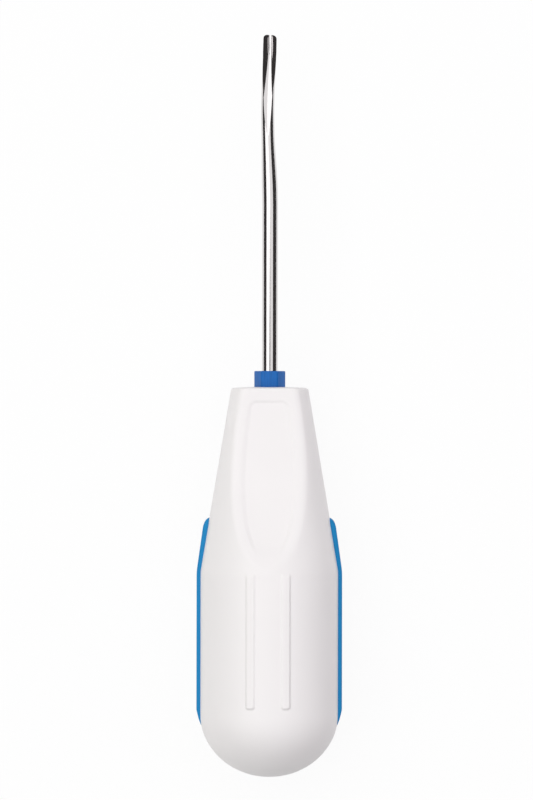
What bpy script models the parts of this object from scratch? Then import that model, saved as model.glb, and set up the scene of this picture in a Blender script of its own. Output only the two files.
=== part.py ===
"""A dental root elevator: a curved steel gouge in a white moulded handle.

The tool lies on its back, on the two long ribs of the handle's rear side. Its long axis runs along Y
with the blade's tip at +Y, and the thumb scoop faces up, along +Z. The origin is on the surface it
lies on, under the middle of the tool's length. All sizes are in metres.
"""

import math

import bmesh
import bpy
from mathutils import Vector

# Turned body of the handle
CONE_LENGTH = 0.0385
BELLY_LENGTH = 0.0297
POMMEL_LENGTH = 0.01315
SHOULDER_RADIUS = 0.00797
BELLY_RADIUS = 0.01441
SHOULDER_CROWN = 0.0002
SHOULDER_EDGE = 0.0008
BLEND_LENGTH = 0.0014

# Thumb scoops on the front and the back, each a hollow of one large radius across the handle
SCOOP_RADIUS = 0.100
SCOOP_START = 0.003
NECK_HALF_DEPTH = 0.0057

# Shallow panel sunk into the front scoop
PANEL_DEPTH = 0.00025
PANEL_MARGIN = 0.0019
PANEL_TOP = 0.0031
PANEL_BOTTOM = 0.0345
PANEL_CORNER = 0.0012
PANEL_FADE = 0.0040

# Pairs of raised ribs on the belly, front and back
RIB_WIDTH = 0.0020
RIB_LENGTH = 0.0288
RIB_SPACING = 0.0074
RIB_LEAD = 0.0006
RIB_PROUD = 0.00025
RIB_EDGE = 0.0004

# Soft strips let into the two sides of the handle
STRIP_WIDTH = 0.0030
STRIP_PROUD = 0.00076
STRIP_SUNK = 0.0013
STRIP_START = 0.0273
STRIP_LENGTH = 0.0434
STRIP_FRONT_RISE = 0.0003
STRIP_LEAD_IN = 0.0017
STRIP_RUN_OUT = 0.0034
STRIP_EDGE = 0.0004

# Hexagonal collar round the shank
COLLAR_ACROSS_FLATS = 0.0057
COLLAR_HEIGHT = 0.0033
COLLAR_SEAT_DEPTH = 0.0020
COLLAR_EDGE = 0.00025

# Steel blade, measured back from its tip
BLADE_REACH = 0.0736
BLADE_DIAMETER = 0.00276
SHANK_DIAMETER = 0.00330
SHANK_TAPER_START = 0.0200
SHANK_TAPER_END = 0.0325
CURVE_PEAK = 0.0160
CURVE_END = 0.0370
BACK_SWEEP = 0.0023
SIDE_SWEEP = 0.00057
TIP_RETURN = 0.14
TIP_CORNER = 0.00085
TIP_SKEW = math.radians(4.0)
TIP_EASE = 0.00003

# Back of the gouge: opened out to this radius at the tip, and thinned down to this wall
TIP_BEVEL = 0.0045
TIP_BACK_RADIUS = 0.00162
TIP_WALL = 0.00012

# Hollow of the gouge: a rounded root between two straight walls; the root's radius grows with the
# square of the distance back from the tip, by this much per metre
HOLLOW_DEPTH = 0.00088
ROOT_RADIUS = 0.00060
ROOT_GROWTH = 9.5
HOLLOW_WALL = math.radians(36.0)
HOLLOW_HALF_WIDTH = 0.0022

# Along the blade the hollow is level, then rises to a long shallow run-out
HOLLOW_LEVEL = 0.0040
HOLLOW_RISE_END = 0.0147
HOLLOW_RISE = 1.25
RUN_OUT_SLOPE = 0.0586
HOLLOW_END = 0.0213

# Tang inside the handle
TANG_LENGTH = 0.0740
TANG_ACROSS_FLATS = 0.0024
TANG_SHOULDER = 0.0006

# Clearance between pieces that touch
FIT = 0.0003

# How finely round shapes are divided
BODY_SIDES = 72
BLADE_SIDES = 24
BLADE_STEP = 0.0011
ARC_STEPS = 14
CORNER_STEPS = 5
FLOOR_STEPS = 18
RIB_END_STEPS = 8
HOLLOW_STEPS = 28

# A rounded end starts this far round its quarter circle, so that its first section has some width
PANEL_FIRST_TURN = 0.15
STRIP_FIRST_TURN = 0.45

# Faces that meet at less than this angle are shaded smooth
SMOOTH_ANGLE = math.radians(35.0)

# Points closer than this are the same point, and cutters reach this far past what they cut
SAME_POINT = 0.000001
OVERCUT = 0.003

HANDLE_LENGTH = CONE_LENGTH + BELLY_LENGTH + POMMEL_LENGTH
POMMEL_Y = -(HANDLE_LENGTH + BLADE_REACH) / 2
BELLY_BACK_Y = POMMEL_Y + POMMEL_LENGTH
BELLY_FRONT_Y = BELLY_BACK_Y + BELLY_LENGTH
SHOULDER_Y = BELLY_FRONT_Y + CONE_LENGTH
TIP_Y = SHOULDER_Y + BLADE_REACH
CONE_SLOPE = (BELLY_RADIUS - SHOULDER_RADIUS) / CONE_LENGTH
AXIS_HEIGHT = BELLY_RADIUS + RIB_PROUD


def clear_scene():
    for obj in list(bpy.data.objects):
        bpy.data.objects.remove(obj, do_unlink=True)


def make_material(name, colour, roughness, metallic=0.0):
    material = bpy.data.materials.new(name)
    material.use_nodes = True
    shader = material.node_tree.nodes["Principled BSDF"]
    shader.inputs["Base Color"].default_value = (*colour, 1.0)
    shader.inputs["Roughness"].default_value = roughness
    shader.inputs["Metallic"].default_value = metallic
    material.diffuse_color = (*colour, 1.0)
    return material


def make_object(name, bm, axis, material=None):
    """Store a bmesh as an object on the tool's axis, shaded smooth between its sharp edges."""
    bmesh.ops.recalc_face_normals(bm, faces=bm.faces)
    mesh = bpy.data.meshes.new(name)
    bm.to_mesh(mesh)
    bm.free()
    mesh.shade_smooth()
    mesh.set_sharp_from_angle(angle=SMOOTH_ANGLE)
    obj = bpy.data.objects.new(name, mesh)
    bpy.context.scene.collection.objects.link(obj)
    obj.parent = axis
    if material:
        mesh.materials.append(material)
    else:
        obj.hide_render = True
        obj.display_type = "WIRE"
    return obj


def combine(target, tool, operation):
    """Add a live Boolean of the tool shape to the target."""
    modifier = target.modifiers.new(tool.name, "BOOLEAN")
    modifier.operation = operation
    modifier.solver = "EXACT"
    modifier.object = tool


def lathe(profile, sides):
    """Turn a profile of (radius, y) points round the Y axis; both its ends lie on the axis."""
    bm = bmesh.new()
    verts = [bm.verts.new((radius, y, 0.0)) for radius, y in profile]
    edges = [bm.edges.new(pair) for pair in zip(verts, verts[1:])]
    bmesh.ops.spin(
        bm,
        geom=verts + edges,
        cent=(0, 0, 0),
        axis=(0, 1, 0),
        angle=math.tau,
        steps=sides,
        use_merge=True,
    )
    bmesh.ops.remove_doubles(bm, verts=bm.verts, dist=SAME_POINT)
    return bm


def loft(rings):
    """Skin a series of closed rings that have the same number of points, and cap both ends."""
    bm = bmesh.new()
    rows = [[bm.verts.new(point) for point in ring] for ring in rings]
    count = len(rows[0])
    for row, following in zip(rows, rows[1:]):
        for i in range(count):
            j = (i + 1) % count
            bm.faces.new((row[i], row[j], following[j], following[i]))
    bm.faces.new(rows[0])
    bm.faces.new(reversed(rows[-1]))
    return bm


def extrude_outline(points, depth):
    """Raise a flat outline into a prism along a depth vector."""
    bm = bmesh.new()
    face = bm.faces.new([bm.verts.new(point) for point in points])
    raised = bmesh.ops.extrude_face_region(bm, geom=[face])["geom"]
    top = [item for item in raised if isinstance(item, bmesh.types.BMVert)]
    bmesh.ops.translate(bm, verts=top, vec=depth)
    return bm


def spread(start, end, steps):
    """Evenly spaced values from start to end, both included."""
    return [start + (end - start) * i / steps for i in range(steps + 1)]


def cone_radius(y):
    return BELLY_RADIUS - (y - BELLY_FRONT_Y) * CONE_SLOPE


def body_radius(y):
    """Radius of the turned body at a height along the tool."""
    if y < BELLY_BACK_Y:
        depth = min(1.0, (BELLY_BACK_Y - y) / POMMEL_LENGTH)
        return BELLY_RADIUS * math.sqrt(1 - depth**2)
    into_blend = y - (BELLY_FRONT_Y - BLEND_LENGTH / 2)
    if into_blend < 0:
        return BELLY_RADIUS
    if into_blend < BLEND_LENGTH:
        return BELLY_RADIUS - CONE_SLOPE * into_blend**2 / (2 * BLEND_LENGTH)
    return cone_radius(y)


def body_profile():
    """The handle's outline from the pommel's pole to the middle of the shoulder."""
    pommel = [
        (BELLY_RADIUS * math.sin(turn), BELLY_BACK_Y - POMMEL_LENGTH * math.cos(turn))
        for turn in spread(0, math.pi / 2, ARC_STEPS)
    ]
    blend_start = BELLY_FRONT_Y - BLEND_LENGTH / 2
    blend_rows = spread(blend_start, blend_start + BLEND_LENGTH, CORNER_STEPS)
    blend = [(body_radius(y), y) for y in blend_rows]
    slope = math.atan(CONE_SLOPE)
    edge_y = SHOULDER_Y - SHOULDER_CROWN - SHOULDER_EDGE
    edge_radius = cone_radius(edge_y) - SHOULDER_EDGE / math.cos(slope)
    edge = [
        (edge_radius + SHOULDER_EDGE * math.cos(turn), edge_y + SHOULDER_EDGE * math.sin(turn))
        for turn in spread(slope, math.pi / 2, CORNER_STEPS)
    ]
    crown = [
        (edge_radius * (1 - share), SHOULDER_Y - SHOULDER_CROWN * (1 - share) ** 2)
        for share in spread(0, 1, CORNER_STEPS)[1:]
    ]
    return pommel + blend + edge + crown


def scoop_height(y):
    """Distance from the tool's axis to the scoop's floor at a height along the tool."""
    along = SHOULDER_Y + SCOOP_START - y
    centre = NECK_HALF_DEPTH + SCOOP_RADIUS
    return centre - math.sqrt(SCOOP_RADIUS**2 - along**2)


def scoop_cutter(name, side, axis):
    """Block that hollows one scoop: the arc of its floor, closed well outside the handle."""
    heights = spread(SHOULDER_Y + OVERCUT / 2, BELLY_FRONT_Y - OVERCUT, FLOOR_STEPS)
    half_width = BELLY_RADIUS + OVERCUT
    floor = [(-half_width, y, side * scoop_height(y)) for y in heights]
    roof = [(-half_width, y, side * 2 * half_width) for y in (heights[-1], heights[0])]
    return make_object(name, extrude_outline(floor + roof, (2 * half_width, 0, 0)), axis)


def panel_half_width(y):
    """Half the panel's width: the scoop's own outline less a margin, with rounded top corners."""
    outline = math.sqrt(max(0.0, body_radius(y) ** 2 - scoop_height(y) ** 2)) - PANEL_MARGIN
    from_top = SHOULDER_Y - PANEL_TOP - y
    if from_top < PANEL_CORNER:
        reach = math.sqrt(PANEL_CORNER**2 - (PANEL_CORNER - from_top) ** 2)
        outline -= PANEL_CORNER - reach
    return max(outline, PANEL_DEPTH)


def panel_floor(y):
    """The panel's floor: an even depth below the scoop that fades out towards the belly."""
    from_bottom = y - (SHOULDER_Y - PANEL_BOTTOM)
    depth = PANEL_DEPTH * min(1.0, 2 * from_bottom / PANEL_FADE - 1)
    return scoop_height(y) - depth


def panel_cutter(axis):
    """Shallow pocket that follows the floor of the front scoop."""
    top = SHOULDER_Y - PANEL_TOP
    bottom = SHOULDER_Y - PANEL_BOTTOM
    turns = spread(PANEL_FIRST_TURN, math.pi / 2, CORNER_STEPS)
    corner = [top - PANEL_CORNER * (1 - math.cos(turn)) for turn in turns]
    heights = corner + spread(corner[-1], bottom, FLOOR_STEPS)[1:]
    roof = BELLY_RADIUS + OVERCUT
    rings = []
    for y in heights:
        half = panel_half_width(y)
        floor = panel_floor(y)
        rings.append([(-half, y, floor), (half, y, floor), (half, y, roof), (-half, y, roof)])
    return make_object("panel_cut", loft(rings), axis)


def rib(name, x, side, axis):
    """One raised rib: a bar with round ends whose crest is flat and whose rim is rounded over."""
    front_y = BELLY_FRONT_Y + RIB_LEAD
    back_y = front_y - RIB_LENGTH
    half = RIB_WIDTH / 2
    front_end = [
        (x + half * math.cos(turn), front_y - half + half * math.sin(turn))
        for turn in spread(0, math.pi, RIB_END_STEPS)
    ]
    back_end = [
        (x + half * math.cos(turn), back_y + half + half * math.sin(turn))
        for turn in spread(math.pi, math.tau, RIB_END_STEPS)
    ]
    root = side * BELLY_RADIUS / 2
    crest = side * AXIS_HEIGHT
    outline = [(px, py, root) for px, py in front_end + back_end]
    bm = extrude_outline(outline, (0, 0, crest - root))
    rim = [
        edge
        for edge in bm.edges
        if all(abs(vert.co.z - crest) < SAME_POINT for vert in edge.verts)
    ]
    bmesh.ops.bevel(
        bm, geom=rim, offset=RIB_EDGE, segments=3, profile=0.5, affect="EDGES", material=-1
    )
    return make_object(name, bm, axis)


def strip_proud(y):
    """How far a side strip stands out of the handle: more up the cone, and two sloped ends."""
    start = SHOULDER_Y - STRIP_START
    end = start - STRIP_LENGTH
    lead_in = (start - y) / STRIP_LEAD_IN
    run_out = (y - end) / STRIP_RUN_OUT
    up_cone = min(1.0, max(0.0, (y - BELLY_FRONT_Y) / (start - BELLY_FRONT_Y)))
    full = STRIP_PROUD + STRIP_FRONT_RISE * up_cone
    return full * max(0.0, min(1.0, lead_in, run_out))


def strip_section(y, inner, outer, half_width, edge):
    """Cross-section of a side strip, with its two outer corners rounded over."""
    side = math.copysign(1.0, outer)
    corner = [
        (outer - side * edge * (1 - math.cos(turn)), half_width - edge * (1 - math.sin(turn)))
        for turn in spread(0, math.pi / 2, 2)
    ]
    upper = [(x, y, z) for x, z in corner]
    lower = [(x, y, -z) for x, z in reversed(corner)]
    return [(inner, y, -half_width)] + lower + upper + [(inner, y, half_width)]


def strip_rings(side, clearance, outer_radius):
    """Cross-sections of a side strip, or of its slot when it is given a clearance."""
    start = SHOULDER_Y - STRIP_START + clearance
    end = SHOULDER_Y - STRIP_START - STRIP_LENGTH - clearance
    half = STRIP_WIDTH / 2 + clearance
    turns = spread(STRIP_FIRST_TURN, math.pi / 2, CORNER_STEPS)
    round_end = [half * (1 - math.cos(turn)) for turn in turns]
    middle = spread(start - half, BELLY_FRONT_Y, CORNER_STEPS)
    middle += spread(BELLY_FRONT_Y, end + half, ARC_STEPS)[1:]
    heights = [start - d for d in round_end[:-1]] + middle + [end + d for d in round_end[-2::-1]]
    rings = []
    for y in heights:
        from_end = min(half, start - y, y - end)
        width = math.sqrt(half**2 - (half - from_end) ** 2)
        inner = side * (body_radius(y) - STRIP_SUNK - clearance)
        edge = min(STRIP_EDGE, width / 2)
        rings.append(strip_section(y, inner, side * outer_radius(y), width, edge))
    return rings


def strip_surface(y):
    return body_radius(y) + strip_proud(y)


def slot_mouth(y):
    return BELLY_RADIUS + OVERCUT


def hexagon(across_flats, y):
    """Corners of a hexagon round the axis, one flat facing up."""
    reach = across_flats / 2 / math.cos(math.pi / 6)
    return [
        (reach * math.cos(i * math.pi / 3), y, reach * math.sin(i * math.pi / 3)) for i in range(6)
    ]


def circle(radius, y, sides):
    return [
        (radius * math.cos(i * math.tau / sides), y, radius * math.sin(i * math.tau / sides))
        for i in range(sides)
    ]


def build_collar(axis, material):
    """Hexagonal ferrule: eased edges, bored for the shank, its foot sunk into the shoulder."""
    foot_y = SHOULDER_Y - COLLAR_SEAT_DEPTH
    height = COLLAR_SEAT_DEPTH + COLLAR_HEIGHT
    bm = extrude_outline(hexagon(COLLAR_ACROSS_FLATS, foot_y), (0, height, 0))
    top_y = foot_y + height
    eased = [
        edge
        for edge in bm.edges
        if max(vert.co.y for vert in edge.verts) > top_y - SAME_POINT
    ]
    bmesh.ops.bevel(
        bm, geom=eased, offset=COLLAR_EDGE, segments=2, profile=0.5, affect="EDGES", material=-1
    )
    collar = make_object("collar", bm, axis, material)
    bore_ring = circle(SHANK_DIAMETER / 2 + FIT, foot_y - OVERCUT, BLADE_SIDES)
    bore = extrude_outline(bore_ring, (0, height + 2 * OVERCUT, 0))
    combine(collar, make_object("collar_bore_cut", bore, axis), "DIFFERENCE")
    return collar


def blade_radius(t):
    """Radius of the steel at a distance back from the tip: slim behind the gouge, then the shank."""
    share = (t - SHANK_TAPER_START) / (SHANK_TAPER_END - SHANK_TAPER_START)
    share = min(1.0, max(0.0, share))
    eased = share * share * (3 - 2 * share)
    return (BLADE_DIAMETER + (SHANK_DIAMETER - BLADE_DIAMETER) * eased) / 2


def blade_offset(t):
    """Share of the blade's full sweep away from the tool's axis at a distance back from the tip."""
    if t < CURVE_PEAK:
        rise = math.sin(math.pi / 2 * max(0.0, t) / CURVE_PEAK) ** 2
        return TIP_RETURN + (1 - TIP_RETURN) * rise
    fall = min(1.0, (t - CURVE_PEAK) / (CURVE_END - CURVE_PEAK))
    return math.cos(math.pi / 2 * fall) ** 2


def blade_centre(t):
    share = blade_offset(t)
    return Vector((-SIDE_SWEEP * share, TIP_Y - t, -BACK_SWEEP * share))


def blade_ring(t, section):
    """Place (sideways, upward) section points square to the blade's centreline."""
    centre = blade_centre(t)
    along = (blade_centre(t - BLADE_STEP / 2) - blade_centre(t + BLADE_STEP / 2)).normalized()
    upward = (Vector((0, 0, 1)) - along * along.z).normalized()
    sideways = along.cross(upward)
    return [centre + sideways * u + upward * v for u, v in section]


def blade_section(t):
    """Round section of the blade, opened out towards the tip into the back of a thin gouge."""
    sharpening = max(0.0, 1 - max(0.0, t) / TIP_BEVEL)
    radius = blade_radius(t) + (TIP_BACK_RADIUS - blade_radius(t)) * sharpening
    raised = (TIP_BACK_RADIUS - HOLLOW_DEPTH - TIP_WALL) * sharpening
    turns = [i * math.tau / BLADE_SIDES for i in range(BLADE_SIDES)]
    return [(radius * math.sin(turn), raised - radius * math.cos(turn)) for turn in turns]


def tang_section():
    """The shank's round section with two flats."""
    radius = SHANK_DIAMETER / 2
    flat = TANG_ACROSS_FLATS / 2
    turns = [i * math.tau / BLADE_SIDES for i in range(BLADE_SIDES)]
    return [
        (radius * math.sin(turn), max(-flat, min(flat, -radius * math.cos(turn)))) for turn in turns
    ]


def hollow_floor(t):
    """Height of the hollow's root over the blade's centre: level, rising, then running out."""
    surface = BLADE_DIAMETER / 2
    share = max(0.0, t - HOLLOW_LEVEL) / (HOLLOW_RISE_END - HOLLOW_LEVEL)
    rising = (surface + HOLLOW_DEPTH) * share**HOLLOW_RISE - HOLLOW_DEPTH
    leaving = surface - RUN_OUT_SLOPE * (HOLLOW_END - t)
    return min(rising, leaving)


def hollow_section(t):
    """Rounded root and two straight walls, open upwards to well above the steel."""
    radius = ROOT_RADIUS + ROOT_GROWTH * min(max(0.0, t), HOLLOW_RISE_END) ** 2
    floor = hollow_floor(t)
    arc = [
        (radius * math.sin(turn), floor + radius * (1 - math.cos(turn)))
        for turn in spread(-HOLLOW_WALL, HOLLOW_WALL, ARC_STEPS)
    ]
    side = max(HOLLOW_HALF_WIDTH, arc[-1][0] + SAME_POINT)
    wall_top = arc[-1][1] + (side - arc[-1][0]) * math.tan(HOLLOW_WALL)
    top = max(wall_top, SHANK_DIAMETER) + OVERCUT
    return [(-side, top), (-side, wall_top)] + arc + [(side, wall_top), (side, top)]


def hollow_cutter(axis):
    stations = spread(-OVERCUT / 2, HOLLOW_END + OVERCUT / 2, HOLLOW_STEPS)
    rings = [blade_ring(t, hollow_section(t)) for t in stations]
    return make_object("hollow_cut", loft(rings), axis)


def tip_outline(axis):
    """Plan outline of the blade: as wide as the steel, with a blunt end and rounded corners."""
    half = BLADE_DIAMETER / 2
    clear = SHANK_DIAMETER + SIDE_SWEEP
    far_y = SHOULDER_Y - TANG_LENGTH - OVERCUT
    straight_y = TIP_Y - TIP_BEVEL
    tip_x = blade_centre(0).x
    side_x = blade_centre(TIP_BEVEL).x
    right = [(clear, far_y), (clear, straight_y), (side_x + half + TIP_EASE, straight_y)]
    left = [(-clear, far_y), (-clear, straight_y), (side_x - half - TIP_EASE, straight_y)]
    for turn in spread(0, math.pi / 2, CORNER_STEPS):
        across = half - TIP_CORNER * (1 - math.cos(turn))
        y = TIP_Y - TIP_CORNER * (1 - math.sin(turn))
        right.append((tip_x + across, y - math.tan(TIP_SKEW) * (half + across)))
        left.append((tip_x - across, y - math.tan(TIP_SKEW) * (half - across)))
    depth = BACK_SWEEP + 2 * SHANK_DIAMETER
    outline = [(x, y, -depth) for x, y in right + left[::-1]]
    return make_object("tip_outline", extrude_outline(outline, (0, 0, 2 * depth)), axis)


def build_blade(axis, material):
    """The steel from tip to tang, swept along its curve and then hollowed into a gouge."""
    root_t = BLADE_REACH + COLLAR_SEAT_DEPTH
    curved = spread(-BLADE_STEP, CURVE_END, round(CURVE_END / BLADE_STEP))
    rings = [blade_ring(t, blade_section(t)) for t in curved + [root_t]]
    tang_end = BLADE_REACH + TANG_LENGTH
    rings += [blade_ring(t, tang_section()) for t in (root_t + TANG_SHOULDER, tang_end)]
    blade = make_object("blade", loft(rings), axis, material)
    combine(blade, tip_outline(axis), "INTERSECT")
    combine(blade, hollow_cutter(axis), "DIFFERENCE")
    return blade


def tang_bore(axis):
    """Blind hole that takes the tang and its flats, with the fit's clearance all round."""
    grow = 1 + 2 * FIT / SHANK_DIAMETER
    end_y = SHOULDER_Y - TANG_LENGTH - FIT
    section = []
    for u, v in tang_section():
        limit = TANG_ACROSS_FLATS / 2 + FIT
        section.append((u * grow, max(-limit, min(limit, v * grow))))
    round_section = [(u * grow, v * grow) for u, v in blade_section(BLADE_REACH)]
    mouth_y = SHOULDER_Y - COLLAR_SEAT_DEPTH - TANG_SHOULDER - FIT
    rings = [
        [(u, SHOULDER_Y + OVERCUT, v) for u, v in round_section],
        [(u, mouth_y, v) for u, v in round_section],
        [(u, mouth_y - TANG_SHOULDER, v) for u, v in section],
        [(u, end_y, v) for u, v in section],
    ]
    return make_object("tang_bore_cut", loft(rings), axis)


def collar_pocket(axis):
    floor_y = SHOULDER_Y - COLLAR_SEAT_DEPTH - FIT
    outline = hexagon(COLLAR_ACROSS_FLATS + 2 * FIT, floor_y)
    pocket = extrude_outline(outline, (0, COLLAR_SEAT_DEPTH + OVERCUT, 0))
    return make_object("collar_pocket_cut", pocket, axis)


def build_handle(axis, material):
    """One solid moulding: turned body, ribs, scoops, panel, side slots, collar pocket and bore."""
    handle = make_object("handle", lathe(body_profile(), BODY_SIDES), axis, material)
    for face, side in (("front", 1), ("back", -1)):
        for hand, x in (("left", -RIB_SPACING / 2), ("right", RIB_SPACING / 2)):
            combine(handle, rib(f"{face}_{hand}_rib", x, side, axis), "UNION")
        combine(handle, scoop_cutter(f"{face}_scoop_cut", side, axis), "DIFFERENCE")
    combine(handle, panel_cutter(axis), "DIFFERENCE")
    for hand, side in (("left", -1), ("right", 1)):
        slot = make_object(f"{hand}_slot_cut", loft(strip_rings(side, FIT, slot_mouth)), axis)
        combine(handle, slot, "DIFFERENCE")
    combine(handle, collar_pocket(axis), "DIFFERENCE")
    combine(handle, tang_bore(axis), "DIFFERENCE")
    return handle


def build_strips(axis, material):
    for hand, side in (("left", -1), ("right", 1)):
        strip = loft(strip_rings(side, 0.0, strip_surface))
        make_object(f"{hand}_grip_strip", strip, axis, material)


def main():
    clear_scene()
    axis = bpy.data.objects.new("tool_axis", None)
    axis.location = (0, 0, AXIS_HEIGHT)
    bpy.context.scene.collection.objects.link(axis)
    steel = make_material("polished_stainless_steel", (0.62, 0.62, 0.63), 0.08, 1.0)
    white = make_material("white_moulded_plastic", (0.80, 0.79, 0.79), 0.42)
    blue = make_material("blue_soft_strip", (0.01, 0.18, 0.42), 0.5)
    royal = make_material("royal_blue_plastic", (0.03, 0.13, 0.42), 0.35)
    build_blade(axis, steel)
    build_collar(axis, royal)
    build_handle(axis, white)
    build_strips(axis, blue)


main()
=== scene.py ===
"""Dressing and studio of a dental root elevator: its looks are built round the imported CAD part.

The tool lies on its back along Y, its working tip at +Y and its thumb scoop facing up, along +Z.
Each piece is shaped round the tool's own long axis, with Y along the tool, and then lifted to the
height at which that axis lies. Sizes are in metres.
"""

import math

import bmesh
import bpy
from bpy.props import FloatProperty, FloatVectorProperty, PointerProperty
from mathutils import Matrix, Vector


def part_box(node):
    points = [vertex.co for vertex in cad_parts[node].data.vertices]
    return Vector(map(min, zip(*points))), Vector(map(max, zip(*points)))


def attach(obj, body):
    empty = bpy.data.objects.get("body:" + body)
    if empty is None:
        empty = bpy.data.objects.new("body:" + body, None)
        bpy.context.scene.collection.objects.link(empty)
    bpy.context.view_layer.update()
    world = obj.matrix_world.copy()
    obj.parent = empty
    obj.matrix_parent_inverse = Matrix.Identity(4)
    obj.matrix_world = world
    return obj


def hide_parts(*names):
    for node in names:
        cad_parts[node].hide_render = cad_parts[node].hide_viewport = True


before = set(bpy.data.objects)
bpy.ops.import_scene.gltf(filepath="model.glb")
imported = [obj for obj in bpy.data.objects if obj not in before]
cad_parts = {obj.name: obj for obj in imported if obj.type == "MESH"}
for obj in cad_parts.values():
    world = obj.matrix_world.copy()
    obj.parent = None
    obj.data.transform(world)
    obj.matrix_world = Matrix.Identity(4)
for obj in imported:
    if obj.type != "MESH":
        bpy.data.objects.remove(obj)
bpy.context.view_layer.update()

bl_info = {
    "name": "Dental root elevator",
    "version": (1, 0, 0),
    "blender": (4, 5, 0),
    "location": "3D View > Sidebar > Elevator",
    "description": "Builds the moulded handle, grip strips, collar and gouge blade of a root elevator",
    "category": "Object",
}

# Levels along the tool: the pommel's end and the axis are read off the CAD model
HANDLE_LENGTH = 0.08135
BLADE_REACH = 0.0736
POMMEL_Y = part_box("handle")[0].y
SHOULDER_Y = POMMEL_Y + HANDLE_LENGTH
TIP_Y = SHOULDER_Y + BLADE_REACH
AXIS_HEIGHT = (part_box("handle")[0].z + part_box("handle")[1].z) / 2

# Turned body of the handle
CONE_LENGTH = 0.0385
POMMEL_LENGTH = 0.01315
SHOULDER_RADIUS = 0.00797
SHOULDER_CROWN = 0.0002
SHOULDER_EDGE = 0.0008
BLEND_LENGTH = 0.0014

# Thumb scoops and the panel in the front one
SCOOP_RADIUS = 0.100
SCOOP_START = 0.003
SCOOP_EASE = 0.0008
SCOOP_END_EASE = 0.22
PANEL_MARGIN = 0.0022
PANEL_TOP = 0.0031
PANEL_BOTTOM = 0.0355
PANEL_CORNER = 0.0012
PANEL_FADE = 0.0035
PANEL_EDGE = 0.0008

# Ribs on the belly
RIB_WIDTH = 0.0020
RIB_LENGTH = 0.0286
RIB_SPACING = 0.0074
RIB_LEAD = 0.0006
RIB_EDGE = 0.0005
RIB_CORNER = 0.0007
RIB_FRONT_RAMP = 0.0018
RIB_TAIL = 0.0040
RIB_TAIL_RISE = 0.3
RIB_LEAN = 0.4
RIB_WALL = 0.0006
RIB_WALL_INSET = 0.00014
RIB_WALL_SLOPE = 3.0
RIB_FILLET = 0.00018

# The stretch of the handle that can hold ribs, measured from the belly's front
RIB_ZONE = (-RIB_LENGTH - 0.001, 0.002)

# Points that face up or down by less than this share stay on the turned body
LEAST_FACING = 0.15

# Soft strips on the two sides
STRIP_SUNK = 0.0013
STRIP_START = 0.0273
STRIP_LENGTH = 0.0434
STRIP_LEAD_IN = 0.0022
STRIP_RUN_OUT = 0.0034
STRIP_EDGE = 0.0004
STRIP_FRONT_RISE = 0.00030

# Hexagonal collar
COLLAR_SEAT_DEPTH = 0.0020
COLLAR_EDGE = 0.00022
COLLAR_BORE_GAP = 0.00012

# Steel blade, measured back from its tip
BLADE_DIAMETER = 0.00276
SHANK_DIAMETER = 0.00330
SHANK_TAPER_START = 0.0200
SHANK_TAPER_END = 0.0325
CURVE_PEAK = 0.0160
CURVE_END = 0.0370
BACK_SWEEP = 0.0023
SIDE_SWEEP = 0.00057
TIP_RETURN = 0.14
TIP_CORNER = 0.00085
TIP_SKEW = math.radians(4.0)
TIP_EASE = 0.00003
TIP_BEVEL = 0.0045
TIP_BACK_RADIUS = 0.00162
TIP_BACK_RISE = 0.00062

# The gouge's hollow: a rounded root, wider the further back, between two straight walls; it runs
# level from the tip, then rises to a long shallow run-out
ROOT_GROWTH = 9.5
HOLLOW_WALL = math.radians(36.0)
HOLLOW_LEVEL = 0.0040
HOLLOW_RISE_END = 0.0147
HOLLOW_RISE = 1.25
RUN_OUT_SLOPE = 0.0586
RUN_OUT_BLEND = 0.0002
HOLLOW_END = 0.0213
CUTTER_HALF_WIDTH = 0.0022
CUTTER_TOP = 0.0040

# Points closer than this are one point; cutters reach this far past what they cut; edges that
# bend by more than this (radians) are corners
SAME_POINT = 0.000002
OVERCUT = 0.003
CORNER_BEND = 0.5

# Rows of the handle's mesh from the belly's back to the shoulder's edge, finest where something
# crosses them: landmark, how far past it the stretch of rows ends, pitch of the rows
ROWS = [
    ("rib_rear", -0.0004, 0.00030),
    ("rib_rear", 0.0015, 0.00012),
    ("rib_front", -0.0015, 0.00120),
    ("rib_front", 0.0004, 0.00015),
    ("rib_front", 0.0032, 0.00014),
    ("rib_front", 0.0130, 0.00040),
    ("panel_top", -0.0014, 0.00058),
    ("panel_top", 0.0005, 0.00013),
    ("edge", 0.0, 0.00040),
]

# Rows over the pommel, round the shoulder's edge and over its crown
POMMEL_ROWS = 40
EDGE_ROWS = 9
CROWN_ROWS = 5

# A quarter turn of the handle is divided in these (degrees, steps), finest across ribs and strips
QUARTER = [(8.5, 12), (13.0, 40), (60.5, 50), (8.0, 12)]

# Cuts across a strip, closest at its two ends: from and to, measured back from its front, steps
STRIP_CUTS = [
    (0.0001, 0.0030, 14),
    (0.0040, STRIP_LENGTH - 0.0050, 34),
    (STRIP_LENGTH - 0.0045, STRIP_LENGTH - 0.0001, 22),
]

# Steps round a strip's ends, and over the eased rims of strips and collar
STRIP_ROUND_STEPS = 12
EDGE_STEPS = 5

# How finely the steel, its cutters and the collar's bore are divided, along and round
BLADE_ROWS = 160
SEAT_ROWS = 12
BLADE_SIDES = 96
HOLLOW_ROWS = 120
HOLLOW_SIDES = 120
BORE_SIDES = 64
TIP_STEPS = 14

# The blade's direction at a point is measured this far ahead of it and behind it
DIRECTION_REACH = 0.0003

# Softboxes: name, left and right edge, brightness; and their reach along the tool
SOFTBOXES = [("left_softbox", -0.935, 0.04, 1.0), ("right_softbox", 0.04, 0.78, 0.65)]
SOFTBOX_LENGTH = 2.1
SOFTBOX_MIDDLE_Y = 0.38

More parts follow.
